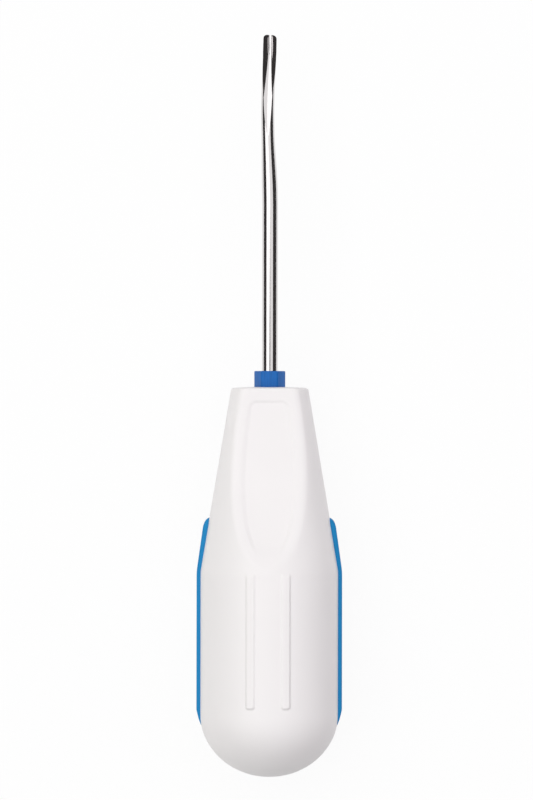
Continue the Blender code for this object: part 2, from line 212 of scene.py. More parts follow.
# Side fills: name, turn from overhead, share of the fill power, tint; their distance and size
FILLS = [
    ("left_fill", math.radians(-87), 1.4, "#FFFFF2"),
    ("right_fill", math.radians(60), 1.2, "#FFF2FF"),
]
FILL_REACH = 0.9
FILL_SIZE = 0.5

# Black cards that are seen only in reflections: one at each side of the tool (name, inner edge),
# and one close under the softboxes, over the tool
CARDS = [("left_card", -0.079), ("right_card", 0.045)]
CARD_WIDTH = 0.60
CARD_LIFT = 0.0005
LENS_CARD_X = 0.022
LENS_CARD_REACH = (0.110, 0.070)
LENS_CARD_DROP = 0.01
CARD_COLOUR = "#121010"

# Black flag on the floor past the pommel's end, towards the right: its middle and its size
FLAG_MIDDLE = (0.25, -0.36)
FLAG_SIZE = (0.50, 0.51)

# The floor's size, and the share of plain white in what the camera and reflections see of it
FLOOR_SIZE = 6.0
FLOOR_GLOW = 0.90

# The dark room that reflections show past the softboxes
ROOM_COLOUR = "#4C4949"
ROOM_STRENGTH = 0.6

# Where the camera stands: the photograph's frame and how much of the tool a pixel covers
FRAME_WIDTH = 533
FRAME_HEIGHT = 800
METRES_PER_PIXEL = 0.0002087
TIP_PIXEL_Y = 34.3
AXIS_PIXEL_X = 269.75
SENSOR = 36.0
LENS = 200.0
CAMERA_ROLL = math.radians(0.10)
CAMERA_TILT = math.radians(1.2)


def linear(hex_colour):
    """Turn an sRGB hex colour into the linear values that shaders work in."""
    channels = [int(hex_colour[i : i + 2], 16) / 255 for i in (1, 3, 5)]
    return tuple(c / 12.92 if c <= 0.04045 else ((c + 0.055) / 1.055) ** 2.4 for c in channels)


def size_property(name, description, default):
    return FloatProperty(
        name=name,
        description=description,
        default=default,
        min=0.0,
        precision=5,
        subtype="DISTANCE",
        unit="LENGTH",
    )


def colour_property(name, description, hex_colour):
    return FloatVectorProperty(
        name=name,
        description=description,
        default=linear(hex_colour),
        min=0.0,
        max=1.0,
        size=3,
        subtype="COLOR",
    )


class HandleSettings(bpy.types.PropertyGroup):
    belly_radius: size_property("Belly radius", "Radius of the straight, thick part", 0.01441)
    neck_half_depth: size_property(
        "Neck half depth", "From the axis to the scoop's floor at the collar end", 0.0057
    )
    panel_depth: size_property("Panel depth", "How far the front panel is sunk", 0.00025)
    rib_proud: size_property("Rib height", "How far a rib's crest clears the belly", 0.00025)
    colour: colour_property("Plastic", "Colour of the moulded handle", "#F2EFEF")


class StripSettings(bpy.types.PropertyGroup):
    width: size_property("Width", "Width of a side strip", 0.0030)
    proud: size_property("Height", "How far a strip stands out of the handle", 0.00076)
    colour: colour_property("Strip", "Colour of the soft side strips", "#0086C4")


class CollarSettings(bpy.types.PropertyGroup):
    across_flats: size_property("Across flats", "Width of the hexagon", 0.0057)
    height: size_property("Height", "Height above the handle's shoulder", 0.0033)
    colour: colour_property("Collar", "Colour of the hexagonal collar", "#1162AF")


class BladeSettings(bpy.types.PropertyGroup):
    root_radius: size_property("Root radius", "Radius at the hollow's root, at the tip", 0.00060)
    hollow_depth: size_property(
        "Hollow depth", "Depth of the hollow's root below the blade's centre", 0.00088
    )
    colour: colour_property("Steel", "Colour of the polished steel", "#DBD8D8")


class StudioSettings(bpy.types.PropertyGroup):
    radiance: FloatProperty(
        name="Softbox brightness",
        description="How bright the left softbox looks next to white",
        default=1.49,
        min=0.0,
    )
    fill_power: FloatProperty(
        name="Fill power",
        description="Power of a side fill whose share is one",
        default=0.77,
        min=0.0,
        subtype="POWER",
        unit="POWER",
    )
    ambient: FloatProperty(
        name="Ambient light",
        description="Light from the room's pale walls on the matt surfaces",
        default=0.20,
        min=0.0,
    )
    softbox_height: size_property("Softbox height", "Height of the softboxes over the floor", 0.8)
    floor_colour: colour_property("Floor", "Colour of the plain floor", "#F5F5F5")


def spread(start, end, steps):
    """Evenly spaced values from start to end, both included."""
    return [start + (end - start) * i / steps for i in range(steps + 1)]


def clamp(value):
    return min(1.0, max(0.0, value))


def ease(value):
    """Smooth step from 0 to 1."""
    value = clamp(value)
    return value * value * (3 - 2 * value)


def soft_min(a, b, width):
    """The lower of two heights, rounded over where they meet."""
    near = max(width - abs(a - b), 0.0)
    return min(a, b) - near * near / (4 * width)


def soft_max(a, b, width):
    return -soft_min(-a, -b, width)


def turned_quarters(profile, sectors):
    """Turn (radius, y) points from +Z to +X, sector by sector, and mirror that quarter twice."""
    bm = bmesh.new()
    verts = [bm.verts.new((0.0, y, radius)) for radius, y in profile]
    edges = [bm.edges.new(pair) for pair in zip(verts, verts[1:])]
    front = verts + edges
    for angle, steps in sectors:
        made = bmesh.ops.spin(
            bm,
            geom=front,
            cent=(0, 0, 0),
            axis=(0, 1, 0),
            angle=math.radians(angle),
            steps=steps,
            use_merge=False,
        )
        front = made["geom_last"]
    bmesh.ops.remove_doubles(bm, verts=bm.verts, dist=SAME_POINT)
    for axis in ("X", "Z"):
        geom = list(bm.verts) + list(bm.edges) + list(bm.faces)
        bmesh.ops.mirror(bm, geom=geom, merge_dist=SAME_POINT, axis=axis)
    bmesh.ops.remove_doubles(bm, verts=bm.verts, dist=SAME_POINT)
    bmesh.ops.recalc_face_normals(bm, faces=bm.faces)
    return bm


def bar(profile, sides):
    """Turn (radius, y) points round the Y axis in one full, merged spin."""
    bm = bmesh.new()
    verts = [bm.verts.new((0.0, y, radius)) for radius, y in profile]
    edges = [bm.edges.new(pair) for pair in zip(verts, verts[1:])]
    bmesh.ops.spin(
        bm,
        geom=verts + edges,
        cent=(0, 0, 0),
        axis=(0, 1, 0),
        angle=math.tau,
        steps=sides,
        use_merge=True,
    )
    bmesh.ops.remove_doubles(bm, verts=bm.verts, dist=SAME_POINT)
    bmesh.ops.recalc_face_normals(bm, faces=bm.faces)
    return bm


def raised_plate(points, depth):
    """Raise a flat outline into a plate along a depth vector."""
    bm = bmesh.new()
    corners = [bm.verts.new(point) for point in points]
    bmesh.ops.contextual_create(bm, geom=corners)
    raised = bmesh.ops.extrude_face_region(bm, geom=list(bm.faces))["geom"]
    top = [item for item in raised if isinstance(item, bmesh.types.BMVert)]
    bmesh.ops.translate(bm, verts=top, vec=depth)
    bmesh.ops.recalc_face_normals(bm, faces=bm.faces)
    return bm


def new_object(name, bm, smooth_angle=35.0):
    """Lift a finished bmesh to the tool's axis and store it as an object at the origin."""
    bmesh.ops.translate(bm, verts=bm.verts, vec=(0, 0, AXIS_HEIGHT))
    mesh = bpy.data.meshes.new(name)
    bm.to_mesh(mesh)
    bm.free()
    mesh.shade_smooth()
    mesh.set_sharp_from_angle(angle=math.radians(smooth_angle))
    obj = bpy.data.objects.new(name, mesh)
    bpy.context.scene.collection.objects.link(obj)
    return obj


def carve(piece, cutters, smooth_angle=30.0):
    """Cut or trim a piece with (operation, bmesh) pairs and keep the result as its mesh."""
    tools = []
    for number, (operation, bm) in enumerate(cutters):
        tool = new_object(f"{piece.name}_cutter_{number}", bm)
        modifier = piece.modifiers.new(tool.name, "BOOLEAN")
        modifier.operation = operation
        modifier.solver = "EXACT"
        modifier.object = tool
        tools.append(tool)
    bpy.context.view_layer.update()
    view = bpy.context.evaluated_depsgraph_get()
    mesh = bpy.data.meshes.new_from_object(piece.evaluated_get(view))
    piece.modifiers.clear()
    piece.data = mesh
    mesh.name = piece.name
    mesh.shade_smooth()
    mesh.set_sharp_from_angle(angle=math.radians(smooth_angle))
    for tool in tools:
        bpy.data.objects.remove(tool, do_unlink=True)


def dress(piece, material, node):
    """Give a piece its material and let it stand for its CAD node."""
    piece.data.materials.clear()
    piece.data.materials.append(material)
    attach(piece, "root")
    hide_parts(node)


def add_node(tree, kind, settings, **links):
    """Add a shader node with its settings, and link its input sockets by name or number."""
    node = tree.nodes.new(kind)
    for name, value in settings.items():
        if isinstance(name, int) or name in node.inputs:
            node.inputs[name].default_value = value
        else:
            setattr(node, name, value)
    for name, source in links.items():
        key = int(name[1:]) if name[1:].isdigit() else name.replace("_", " ")
        tree.links.new(source, node.inputs[key])
    return node


def new_material(name, colour, settings):
    """Start a material on its shader, and return it with its node tree and shader."""
    material = bpy.data.materials.new(name)
    material.use_nodes = True
    material.diffuse_color = (*colour, 1.0)
    tree = material.node_tree
    shader = tree.nodes["Principled BSDF"]
    shader.inputs["Base Color"].default_value = (*colour, 1.0)
    for socket, value in settings.items():
        shader.inputs[socket].default_value = value
    return material, tree, shader


def moulded_white_plastic(colour):
    """ABS moulded in a finely spark-eroded tool: it gives an even, milky satin with a soft glow."""
    material, tree, shader = new_material(
        "moulded_white_abs", colour, {"IOR": 1.53, "Specular IOR Level": 0.45}
    )
    place = add_node(tree, "ShaderNodeTexCoord", {})
    # Slow drift in the plastic's tone, about 12 mm from light to dark
    drift = add_node(
        tree, "ShaderNodeTexNoise", {"Scale": 85.0, "Detail": 2.0}, Vector=place.outputs["Object"]
    )
    tone = add_node(
        tree,
        "ShaderNodeMix",
        {"data_type": "RGBA", 6: (*[c * 0.965 for c in colour], 1.0), 7: (*colour, 1.0)},
        i0=drift.outputs["Fac"],
    )
    tree.links.new(tone.outputs[2], shader.inputs["Base Color"])
    # The tool's fine grain is about 0.05 mm; it is drawn at 0.2 mm, the finest that shows here
    grain = add_node(
        tree, "ShaderNodeTexNoise", {"Scale": 5000.0, "Detail": 2.0}, Vector=place.outputs["Object"]
    )
    gloss = add_node(
        tree,
        "ShaderNodeMapRange",
        {"To Min": 0.40, "To Max": 0.50},
        Value=grain.outputs["Fac"],
    )
    tree.links.new(gloss.outputs["Result"], shader.inputs["Roughness"])
    bump = add_node(
        tree,
        "ShaderNodeBump",
        {"Strength": 0.10, "Distance": 0.00002},
        Height=grain.outputs["Fac"],
    )
    tree.links.new(bump.outputs["Normal"], shader.inputs["Normal"])
    return material


def soft_blue_strip(colour):
    """Thermoplastic elastomer moulded over the handle: a dry, soft satin with a faint sheen."""
    material, tree, shader = new_material(
        "moulded_blue_elastomer",
        colour,
        {"IOR": 1.48, "Specular IOR Level": 0.3, "Sheen Weight": 0.05, "Sheen Roughness": 0.5},
    )
    place = add_node(tree, "ShaderNodeTexCoord", {})
    drift = add_node(
        tree, "ShaderNodeTexNoise", {"Scale": 150.0, "Detail": 3.0}, Vector=place.outputs["Object"]
    )
    tone = add_node(
        tree,
        "ShaderNodeMix",
        {"data_type": "RGBA", 6: (*[c * 0.90 for c in colour], 1.0), 7: (*colour, 1.0)},
        i0=drift.outputs["Fac"],
    )
    tree.links.new(tone.outputs[2], shader.inputs["Base Color"])
    # Matt grain of a textured mould, 0.15 mm from bump to bump
    grain = add_node(
        tree, "ShaderNodeTexNoise", {"Scale": 6500.0, "Detail": 2.0}, Vector=place.outputs["Object"]
    )
    gloss = add_node(
        tree,
        "ShaderNodeMapRange",
        {"To Min": 0.46, "To Max": 0.60},
        Value=grain.outputs["Fac"],
    )
    tree.links.new(gloss.outputs["Result"], shader.inputs["Roughness"])
    bump = add_node(
        tree,
        "ShaderNodeBump",
        {"Strength": 0.25, "Distance": 0.00003},
        Height=grain.outputs["Fac"],
    )
    tree.links.new(bump.outputs["Normal"], shader.inputs["Normal"])
    return material


def royal_blue_plastic(colour):
    """Polyamide turned from extruded hexagon bar: semi-gloss, with fine draw lines along it."""
    material, tree, shader = new_material(
        "royal_blue_polyamide", colour, {"IOR": 1.53, "Specular IOR Level": 0.2}
    )
    place = add_node(tree, "ShaderNodeTexCoord", {})
    # Draw lines run along the tool, 0.25 mm apart across it
    stretch = add_node(
        tree,
        "ShaderNodeMapping",
        {"Scale": (4000.0, 250.0, 4000.0)},
        Vector=place.outputs["Object"],
    )
    lines = add_node(
        tree, "ShaderNodeTexNoise", {"Scale": 1.0, "Detail": 3.0}, Vector=stretch.outputs["Vector"]
    )
    tone = add_node(
        tree,
        "ShaderNodeMix",
        {
            "data_type": "RGBA",
            6: (*[c * 0.72 for c in colour], 1.0),
            7: (*[min(1.0, c * 1.22) for c in colour], 1.0),
        },
        i0=lines.outputs["Fac"],
    )
    tree.links.new(tone.outputs[2], shader.inputs["Base Color"])
    gloss = add_node(
        tree,
        "ShaderNodeMapRange",
        {"To Min": 0.28, "To Max": 0.42},
        Value=lines.outputs["Fac"],
    )
    tree.links.new(gloss.outputs["Result"], shader.inputs["Roughness"])
    bump = add_node(
        tree,
        "ShaderNodeBump",
        {"Strength": 0.20, "Distance": 0.00003},
        Height=lines.outputs["Fac"],
    )
    tree.links.new(bump.outputs["Normal"], shader.inputs["Normal"])
    return material


def polished_steel(colour):
    """Stainless steel buffed along its length to a mirror that still has faint buffing lines."""
    material, tree, shader = new_material("buffed_stainless_steel", colour, {"Metallic": 1.0})
    place = add_node(tree, "ShaderNodeTexCoord", {})
    # Buffing lines along the blade, 0.12 mm apart across it
    stretch = add_node(
        tree,
        "ShaderNodeMapping",
        {"Scale": (8000.0, 120.0, 8000.0)},
        Vector=place.outputs["Object"],
    )
    lines = add_node(
        tree, "ShaderNodeTexNoise", {"Scale": 1.0, "Detail": 2.0}, Vector=stretch.outputs["Vector"]
    )
    gloss = add_node(
        tree,
        "ShaderNodeMapRange",
        {"To Min": 0.05, "To Max": 0.13},
        Value=lines.outputs["Fac"],
    )
    tree.links.new(gloss.outputs["Result"], shader.inputs["Roughness"])
    bump = add_node(
        tree,
        "ShaderNodeBump",
        {"Strength": 0.06, "Distance": 0.00002},
        Height=lines.outputs["Fac"],
    )
    tree.links.new(bump.outputs["Normal"], shader.inputs["Normal"])
    return material


def plain_floor(colour):
    """Matt white card: the camera sees it near white, with the tool's own soft shadow kept."""
    material, tree, shader = new_material(
        "matt_white_card", colour, {"Roughness": 0.9, "Specular IOR Level": 0.1}
    )
    glow = add_node(tree, "ShaderNodeEmission", {"Color": (1, 1, 1, 1), "Strength": 1.0})
    rays = add_node(tree, "ShaderNodeLightPath", {})
    mirrored = add_node(
        tree,
        "ShaderNodeMath",
        {"operation": "MAXIMUM"},
        i0=rays.outputs["Is Glossy Ray"],
        i1=rays.outputs["Is Transmission Ray"],
    )
    seen = add_node(
        tree,
        "ShaderNodeMath",
        {"operation": "MAXIMUM"},
        i0=rays.outputs["Is Camera Ray"],
        i1=mirrored.outputs["Value"],
    )
    share = add_node(
        tree, "ShaderNodeMath", {"operation": "MULTIPLY", 1: FLOOR_GLOW}, i0=seen.outputs["Value"]
    )
    mixed = add_node(
        tree,
        "ShaderNodeMixShader",
        {},
        i0=share.outputs["Value"],
        i1=shader.outputs["BSDF"],
        i2=glow.outputs["Emission"],
    )
    output = tree.nodes["Material Output"]
    tree.links.new(mixed.outputs["Shader"], output.inputs["Surface"])
    return material


def black_card(colour):
    """Matt black card: polished steel mirrors it as the dark edge of a bright band."""
    return new_material(
        "matt_black_card", colour, {"Roughness": 0.9, "Specular IOR Level": 0.1}
    )[0]


def belly_back():
    return POMMEL_Y + POMMEL_LENGTH


def belly_front():
    return SHOULDER_Y - CONE_LENGTH


def rib_front():
    return belly_front() + RIB_LEAD


def rib_rear():
    return rib_front() - RIB_LENGTH


def cone_radius(y, belly):
    slope = (belly - SHOULDER_RADIUS) / CONE_LENGTH
    return belly - (y - belly_front()) * slope


def body_radius(y, belly):
    """Radius of the handle's turned body at a height along the tool."""
    if y < belly_back():
        depth = min(1.0, (belly_back() - y) / POMMEL_LENGTH)
        return belly * math.sqrt(1 - depth**2)
    slope = (belly - SHOULDER_RADIUS) / CONE_LENGTH
    into_blend = y - (belly_front() - BLEND_LENGTH / 2)
    if into_blend < 0:
        return belly
    if into_blend < BLEND_LENGTH:
        return belly - slope * into_blend**2 / (2 * BLEND_LENGTH)
    return cone_radius(y, belly)


def handle_profile(belly):
    """The handle's outline from the pommel's pole to the middle of the shoulder."""
    profile = [
        (belly * math.sin(turn), belly_back() - POMMEL_LENGTH * math.cos(turn))
        for turn in spread(0, math.pi / 2, POMMEL_ROWS)[:-1]
    ]
    slope = math.atan((belly - SHOULDER_RADIUS) / CONE_LENGTH)
    edge_y = SHOULDER_Y - SHOULDER_CROWN - SHOULDER_EDGE
    landmarks = {
        "rib_rear": rib_rear(),
        "rib_front": rib_front(),
        "panel_top": SHOULDER_Y - PANEL_TOP,
        "edge": edge_y,
    }
    start = belly_back()
    for landmark, past, pitch in ROWS:
        end = landmarks[landmark] + past
        steps = max(1, round((end - start) / pitch))
        profile += [(body_radius(y, belly), y) for y in spread(start, end, steps)[:-1]]
        start = end
    edge_radius = cone_radius(edge_y, belly) - SHOULDER_EDGE / math.cos(slope)
    profile += [
        (edge_radius + SHOULDER_EDGE * math.cos(turn), edge_y + SHOULDER_EDGE * math.sin(turn))
        for turn in spread(slope, math.pi / 2, EDGE_ROWS)
    ]
    profile += [
        (edge_radius * (1 - share), SHOULDER_Y - SHOULDER_CROWN * (1 - share) ** 2)
        for share in spread(0, 1, CROWN_ROWS)[1:]
    ]
    return profile


def scoop_height(y, neck):
    """Distance from the tool's axis to a scoop's floor."""
    along = SHOULDER_Y + SCOOP_START - y
    return neck + SCOOP_RADIUS - math.sqrt(SCOOP_RADIUS**2 - along**2)


def panel_sink(x, y, settings):
    """How far the front scoop's floor is sunk at a point, for the panel."""
    from_top = SHOULDER_Y - PANEL_TOP - y
    from_bottom = y - (SHOULDER_Y - PANEL_BOTTOM)
    if from_top < -PANEL_EDGE or from_bottom < 0:
        return 0.0
    body = body_radius(y, settings.belly_radius)
    floor = scoop_height(y, settings.neck_half_depth)
    half = math.sqrt(max(0.0, body**2 - floor**2)) - PANEL_MARGIN
    inside = half - abs(x)
    if from_top < PANEL_CORNER:
        in_corner = PANEL_CORNER - min(inside, PANEL_CORNER)
        inside = PANEL_CORNER - math.hypot(PANEL_CORNER - from_top, in_corner)
    fade = ease(from_bottom / PANEL_FADE)
    return settings.panel_depth * fade * ease(inside / PANEL_EDGE + 0.5)


def inside_rib(x, y):
    """Distance from a point to the outline of the nearer rib, above zero inside it."""
    middle = rib_front() - RIB_LENGTH / 2
    past_side = abs(abs(x) - RIB_SPACING / 2) - RIB_WIDTH / 2 + RIB_CORNER
    past_end = abs(y - middle) - RIB_LENGTH / 2 + RIB_CORNER
    corner = math.hypot(max(0.0, past_side), max(0.0, past_end))
    return RIB_CORNER - corner - min(0.0, max(past_side, past_end))


def rib_fade(y):
    """The ribs rise gently out of the handle at their front ends."""
    return ease((rib_front() - y) / RIB_FRONT_RAMP)


def rib_tail(y):
    """The front ribs rise a little more towards their rear ends, which end in steeper steps."""
    return 1 + RIB_TAIL_RISE * ease(1 - (y - rib_rear()) / RIB_TAIL)


def rib_lean(x):
    """The front ribs' right walls are higher than their left ones."""
    from_middle = x - math.copysign(RIB_SPACING / 2, x)
    return 1 + RIB_LEAN * clamp(from_middle / RIB_WIDTH + 0.5)


def level_rib(inside, y, settings):
    """Height of a rear rib from the tool's axis: its crest is level, so the tool lies on it."""
    crest = settings.belly_radius + settings.rib_proud * rib_fade(y)
    if inside < 0:
        return crest - RIB_EDGE + inside * RIB_WALL_SLOPE
    rounding = max(0.0, RIB_EDGE - inside)
    return crest - RIB_EDGE + math.sqrt(RIB_EDGE**2 - rounding**2)


def mould_handle(bm, settings):
    """Sink the scoops and the panel and raise the ribs by moving the turned body's points."""
    belly = settings.belly_radius
    zone_rear, zone_front = [belly_front() + reach for reach in RIB_ZONE]
    for vert in bm.verts:
        x, y, z = vert.co
        radius = math.hypot(x, z)
        if radius < SAME_POINT or y < zone_rear:
            continue
        facing = abs(z) / radius
        if facing < LEAST_FACING:
            continue
        skin = body_radius(y, belly)
        across = x / radius / facing
        floor = scoop_height(y, settings.neck_half_depth)
        if z > 0:
            floor -= panel_sink(floor * across, y, settings)
        # The two surfaces meet more steeply at the sides than where the floor runs out
        rise = (SHOULDER_Y + SCOOP_START - y) / SCOOP_RADIUS
        steepness = math.hypot(x / z, SCOOP_END_EASE * rise)
        moved = soft_min(skin, floor / facing, SCOOP_EASE * steepness)
        if y < zone_front and abs(x) < RIB_SPACING:
            inside = inside_rib((belly + settings.rib_proud) * x / radius, y)
            if z > 0:
                swell = ease((inside - RIB_WALL_INSET) / RIB_WALL + 0.5)
                moved += settings.rib_proud * swell * rib_lean(x) * rib_fade(y) * rib_tail(y)
            else:
                moved = soft_max(moved, level_rib(inside, y, settings) / facing, RIB_FILLET)
        scale = moved / skin
        vert.co = (x * scale, y, z * scale)


def strip_lift(y, proud):
    """How far a strip stands out of the handle: a rounded front end and a long slope behind."""
    start = SHOULDER_Y - STRIP_START
    end = start - STRIP_LENGTH
    before_full = 1 - clamp((start - y) / STRIP_LEAD_IN)
    run_out = clamp((y - end) / STRIP_RUN_OUT)
    extra = STRIP_FRONT_RISE * clamp((y - belly_front()) / (start - belly_front()))
    return (proud + extra) * min(math.sqrt(1 - before_full**2), run_out)


def strip_blank(width, thickness):
    """Straight blank of a strip: a bar with round ends whose outer rim is rounded over.

    The ends are rounded by a hair less than half the width, so that their two arcs stay apart.
    """
    bm = bmesh.new()
    bmesh.ops.create_cube(bm, size=1.0)
    bmesh.ops.scale(bm, verts=bm.verts, vec=(thickness, STRIP_LENGTH, width))
    bmesh.ops.translate(bm, verts=bm.verts, vec=(thickness / 2, 0, 0))
    corners = [
        edge
        for edge in bm.edges
        if abs(edge.verts[0].co.x - edge.verts[1].co.x) > thickness / 2
    ]
    bmesh.ops.bevel(
        bm,
        geom=corners,
        offset=width * 0.499,
        segments=STRIP_ROUND_STEPS,
        profile=0.5,
        affect="EDGES",
        material=-1,
    )
    rim = [
        edge
        for edge in bm.edges
        if min(vert.co.x for vert in edge.verts) > thickness - SAME_POINT
        and edge.calc_face_angle() > CORNER_BEND
    ]
    bmesh.ops.bevel(
        bm,
        geom=rim,
        offset=STRIP_EDGE,
        segments=EDGE_STEPS,
        profile=0.5,
        affect="EDGES",
        material=-1,
    )
    cuts = [back for start, end, steps in STRIP_CUTS for back in spread(start, end, steps)]
    for back in cuts:
        bmesh.ops.bisect_plane(
            bm,
            geom=list(bm.verts) + list(bm.edges) + list(bm.faces),
            dist=SAME_POINT / 2,
            plane_co=(0, STRIP_LENGTH / 2 - back, 0),
            plane_no=(0, 1, 0),
        )
    return bm


def make_strip(name, side, settings, belly):
    """Lay a strip blank along the handle's side, sloping down to the handle at both ends."""
    thickness = STRIP_SUNK + settings.proud
    bm = strip_blank(settings.width, thickness)
    middle = SHOULDER_Y - STRIP_START - STRIP_LENGTH / 2
    bmesh.ops.translate(bm, verts=bm.verts, vec=(0, middle, 0))
    for vert in bm.verts:
        y = vert.co.y
        above = max(0.0, vert.co.x - STRIP_SUNK)
        below = min(vert.co.x, STRIP_SUNK)
        lift = above * strip_lift(y, settings.proud) / settings.proud
        vert.co.x = body_radius(y, belly) - STRIP_SUNK + below + lift
    if side < 0:
        bmesh.ops.mirror(bm, geom=list(bm.verts) + list(bm.edges) + list(bm.faces), axis="X")
        far = [vert for vert in bm.verts if vert.co.x > 0]
        bmesh.ops.delete(bm, geom=far, context="VERTS")
    bmesh.ops.remove_doubles(bm, verts=bm.verts, dist=SAME_POINT / 2)
    bmesh.ops.recalc_face_normals(bm, faces=bm.faces)
    return new_object(name, bm)


def make_collar(settings):
    """Hexagonal collar with eased corners and rim, bored for the shank."""
    foot_y = SHOULDER_Y - COLLAR_SEAT_DEPTH
    height = COLLAR_SEAT_DEPTH + settings.height
    reach = settings.across_flats / 2 / math.cos(math.pi / 6)
    turns = [i * math.pi / 3 for i in range(6)]
    outline = [(reach * math.cos(turn), foot_y, reach * math.sin(turn)) for turn in turns]
    bm = raised_plate(outline, (0, height, 0))
    eased = [
        edge
        for edge in bm.edges
        if max(vert.co.y for vert in edge.verts) > foot_y + height - SAME_POINT
    ]
    bmesh.ops.bevel(
        bm,
        geom=eased,
        offset=COLLAR_EDGE,
        segments=EDGE_STEPS,
        profile=0.5,
        affect="EDGES",
        material=-1,
    )
    collar = new_object("hex_collar", bm)
    bore_radius = SHANK_DIAMETER / 2 + COLLAR_BORE_GAP
    bore = bar(
        [
            (0, foot_y - OVERCUT),
            (bore_radius, foot_y - OVERCUT),
            (bore_radius, foot_y + height + OVERCUT),
            (0, foot_y + height + OVERCUT),
        ],
        BORE_SIDES,
    )
    carve(collar, [("DIFFERENCE", bore)])
    return collar


def blade_radius(t):
    """Radius of the steel at a distance back from the tip: slim, then widening to the shank."""
    share = ease((t - SHANK_TAPER_START) / (SHANK_TAPER_END - SHANK_TAPER_START))
    return (BLADE_DIAMETER + (SHANK_DIAMETER - BLADE_DIAMETER) * share) / 2


def blade_offset(t):
    """Share of the blade's full sweep away from the tool's axis at a distance back from the tip."""
    if t < CURVE_PEAK:
        rise = math.sin(math.pi / 2 * max(0.0, t) / CURVE_PEAK) ** 2
        return TIP_RETURN + (1 - TIP_RETURN) * rise
    fall = min(1.0, (t - CURVE_PEAK) / (CURVE_END - CURVE_PEAK))
    return math.cos(math.pi / 2 * fall) ** 2


def blade_centre(t):
    share = blade_offset(t)
    return Vector((-SIDE_SWEEP * share, TIP_Y - t, -BACK_SWEEP * share))


def bend_to_blade(bm, section):
    """Lay a straight bar along the blade's curve; section gives each point's place across it."""
    for vert in bm.verts:
        t = TIP_Y - vert.co.y
        ahead = blade_centre(t - DIRECTION_REACH)
        along = (ahead - blade_centre(t + DIRECTION_REACH)).normalized()
        upward = (Vector((0, 0, 1)) - along * along.z).normalized()
        across, up = section(t, vert.co.x, vert.co.z)
        vert.co = blade_centre(t) + along.cross(upward) * across + upward * up


def steel_section(t, x, z):
    """How the blade's bar widens into the thin back of the gouge near its tip."""
    sharpening = clamp(1 - max(0.0, t) / TIP_BEVEL)
    plain = blade_radius(t)
    radius = plain + (TIP_BACK_RADIUS - plain) * sharpening
    scale = radius / (SHANK_DIAMETER / 2)
    return x * scale, z * scale + TIP_BACK_RISE * sharpening


def hollow_floor(t, depth):
    """Height of the hollow's root over the blade's centre: level, rising, then running out."""
    top = BLADE_DIAMETER / 2
    share = max(0.0, (t - HOLLOW_LEVEL) / (HOLLOW_RISE_END - HOLLOW_LEVEL))
    rising = -depth + (top + depth) * share**HOLLOW_RISE
    leaving = top - RUN_OUT_SLOPE * (HOLLOW_END - t)
    return soft_min(rising, leaving, RUN_OUT_BLEND)


def hollow_section(settings):
    """Open a round cutter into the hollow's section: rounded root, flat walls, clear above."""

    def place(t, x, z):
        root = settings.root_radius + ROOT_GROWTH * min(max(0.0, t), HOLLOW_RISE_END) ** 2
        turn = math.atan2(abs(x), -z) / HOLLOW_WALL
        if turn < 1:
            turn *= HOLLOW_WALL
            across, up = root * math.sin(turn), root * (1 - math.cos(turn))
        else:
            corner = (root * math.sin(HOLLOW_WALL), root * (1 - math.cos(HOLLOW_WALL)))
            wall_top = corner[1] + (CUTTER_HALF_WIDTH - corner[0]) * math.tan(HOLLOW_WALL)
            path = [corner, (CUTTER_HALF_WIDTH, wall_top), (CUTTER_HALF_WIDTH, CUTTER_TOP)]
            path.append((0.0, CUTTER_TOP))
            leg = min(int((turn - 1) / (math.pi / HOLLOW_WALL - 1) * 3), 2)
            share = (turn - 1) / (math.pi / HOLLOW_WALL - 1) * 3 - leg
            across = path[leg][0] + (path[leg + 1][0] - path[leg][0]) * share
            up = path[leg][1] + (path[leg + 1][1] - path[leg][1]) * share
        return math.copysign(across, x), up + hollow_floor(t, settings.hollow_depth)

    return place


def hollow_cutter(settings):
    """The hollow's cutter, laid along the blade from clear of its tip to clear of the run-out."""
    levels = spread(TIP_Y + OVERCUT / 2, TIP_Y - HOLLOW_END - OVERCUT / 2, HOLLOW_ROWS)
    rows = [(settings.root_radius, y) for y in levels]
    bm = bar([(0, levels[0])] + rows + [(0, levels[-1])], HOLLOW_SIDES)
    bend_to_blade(bm, hollow_section(settings))
    bmesh.ops.recalc_face_normals(bm, faces=bm.faces)
    return bm


def tip_outline():
    """Plan outline of the blade: as wide as the steel, with a blunt end and rounded corners."""
    half = BLADE_DIAMETER / 2
    clear = SHANK_DIAMETER + SIDE_SWEEP
    far_y = SHOULDER_Y - COLLAR_SEAT_DEPTH - OVERCUT
    straight_y = TIP_Y - TIP_BEVEL
    tip_x = blade_centre(0).x
    side_x = blade_centre(TIP_BEVEL).x
    right = [(clear, far_y), (clear, straight_y), (side_x + half + TIP_EASE, straight_y)]
    left = [(-clear, far_y), (-clear, straight_y), (side_x - half - TIP_EASE, straight_y)]
    for turn in spread(0, math.pi / 2, TIP_STEPS):
        across = half - TIP_CORNER * (1 - math.cos(turn))
        y = TIP_Y - TIP_CORNER * (1 - math.sin(turn))
        right.append((tip_x + across, y - math.tan(TIP_SKEW) * (half + across)))
        left.append((tip_x - across, y - math.tan(TIP_SKEW) * (half - across)))
    depth = BACK_SWEEP + 2 * SHANK_DIAMETER
    outline = [(x, y, -depth) for x, y in right + left[::-1]]
    return raised_plate(outline, (0, 0, 2 * depth))


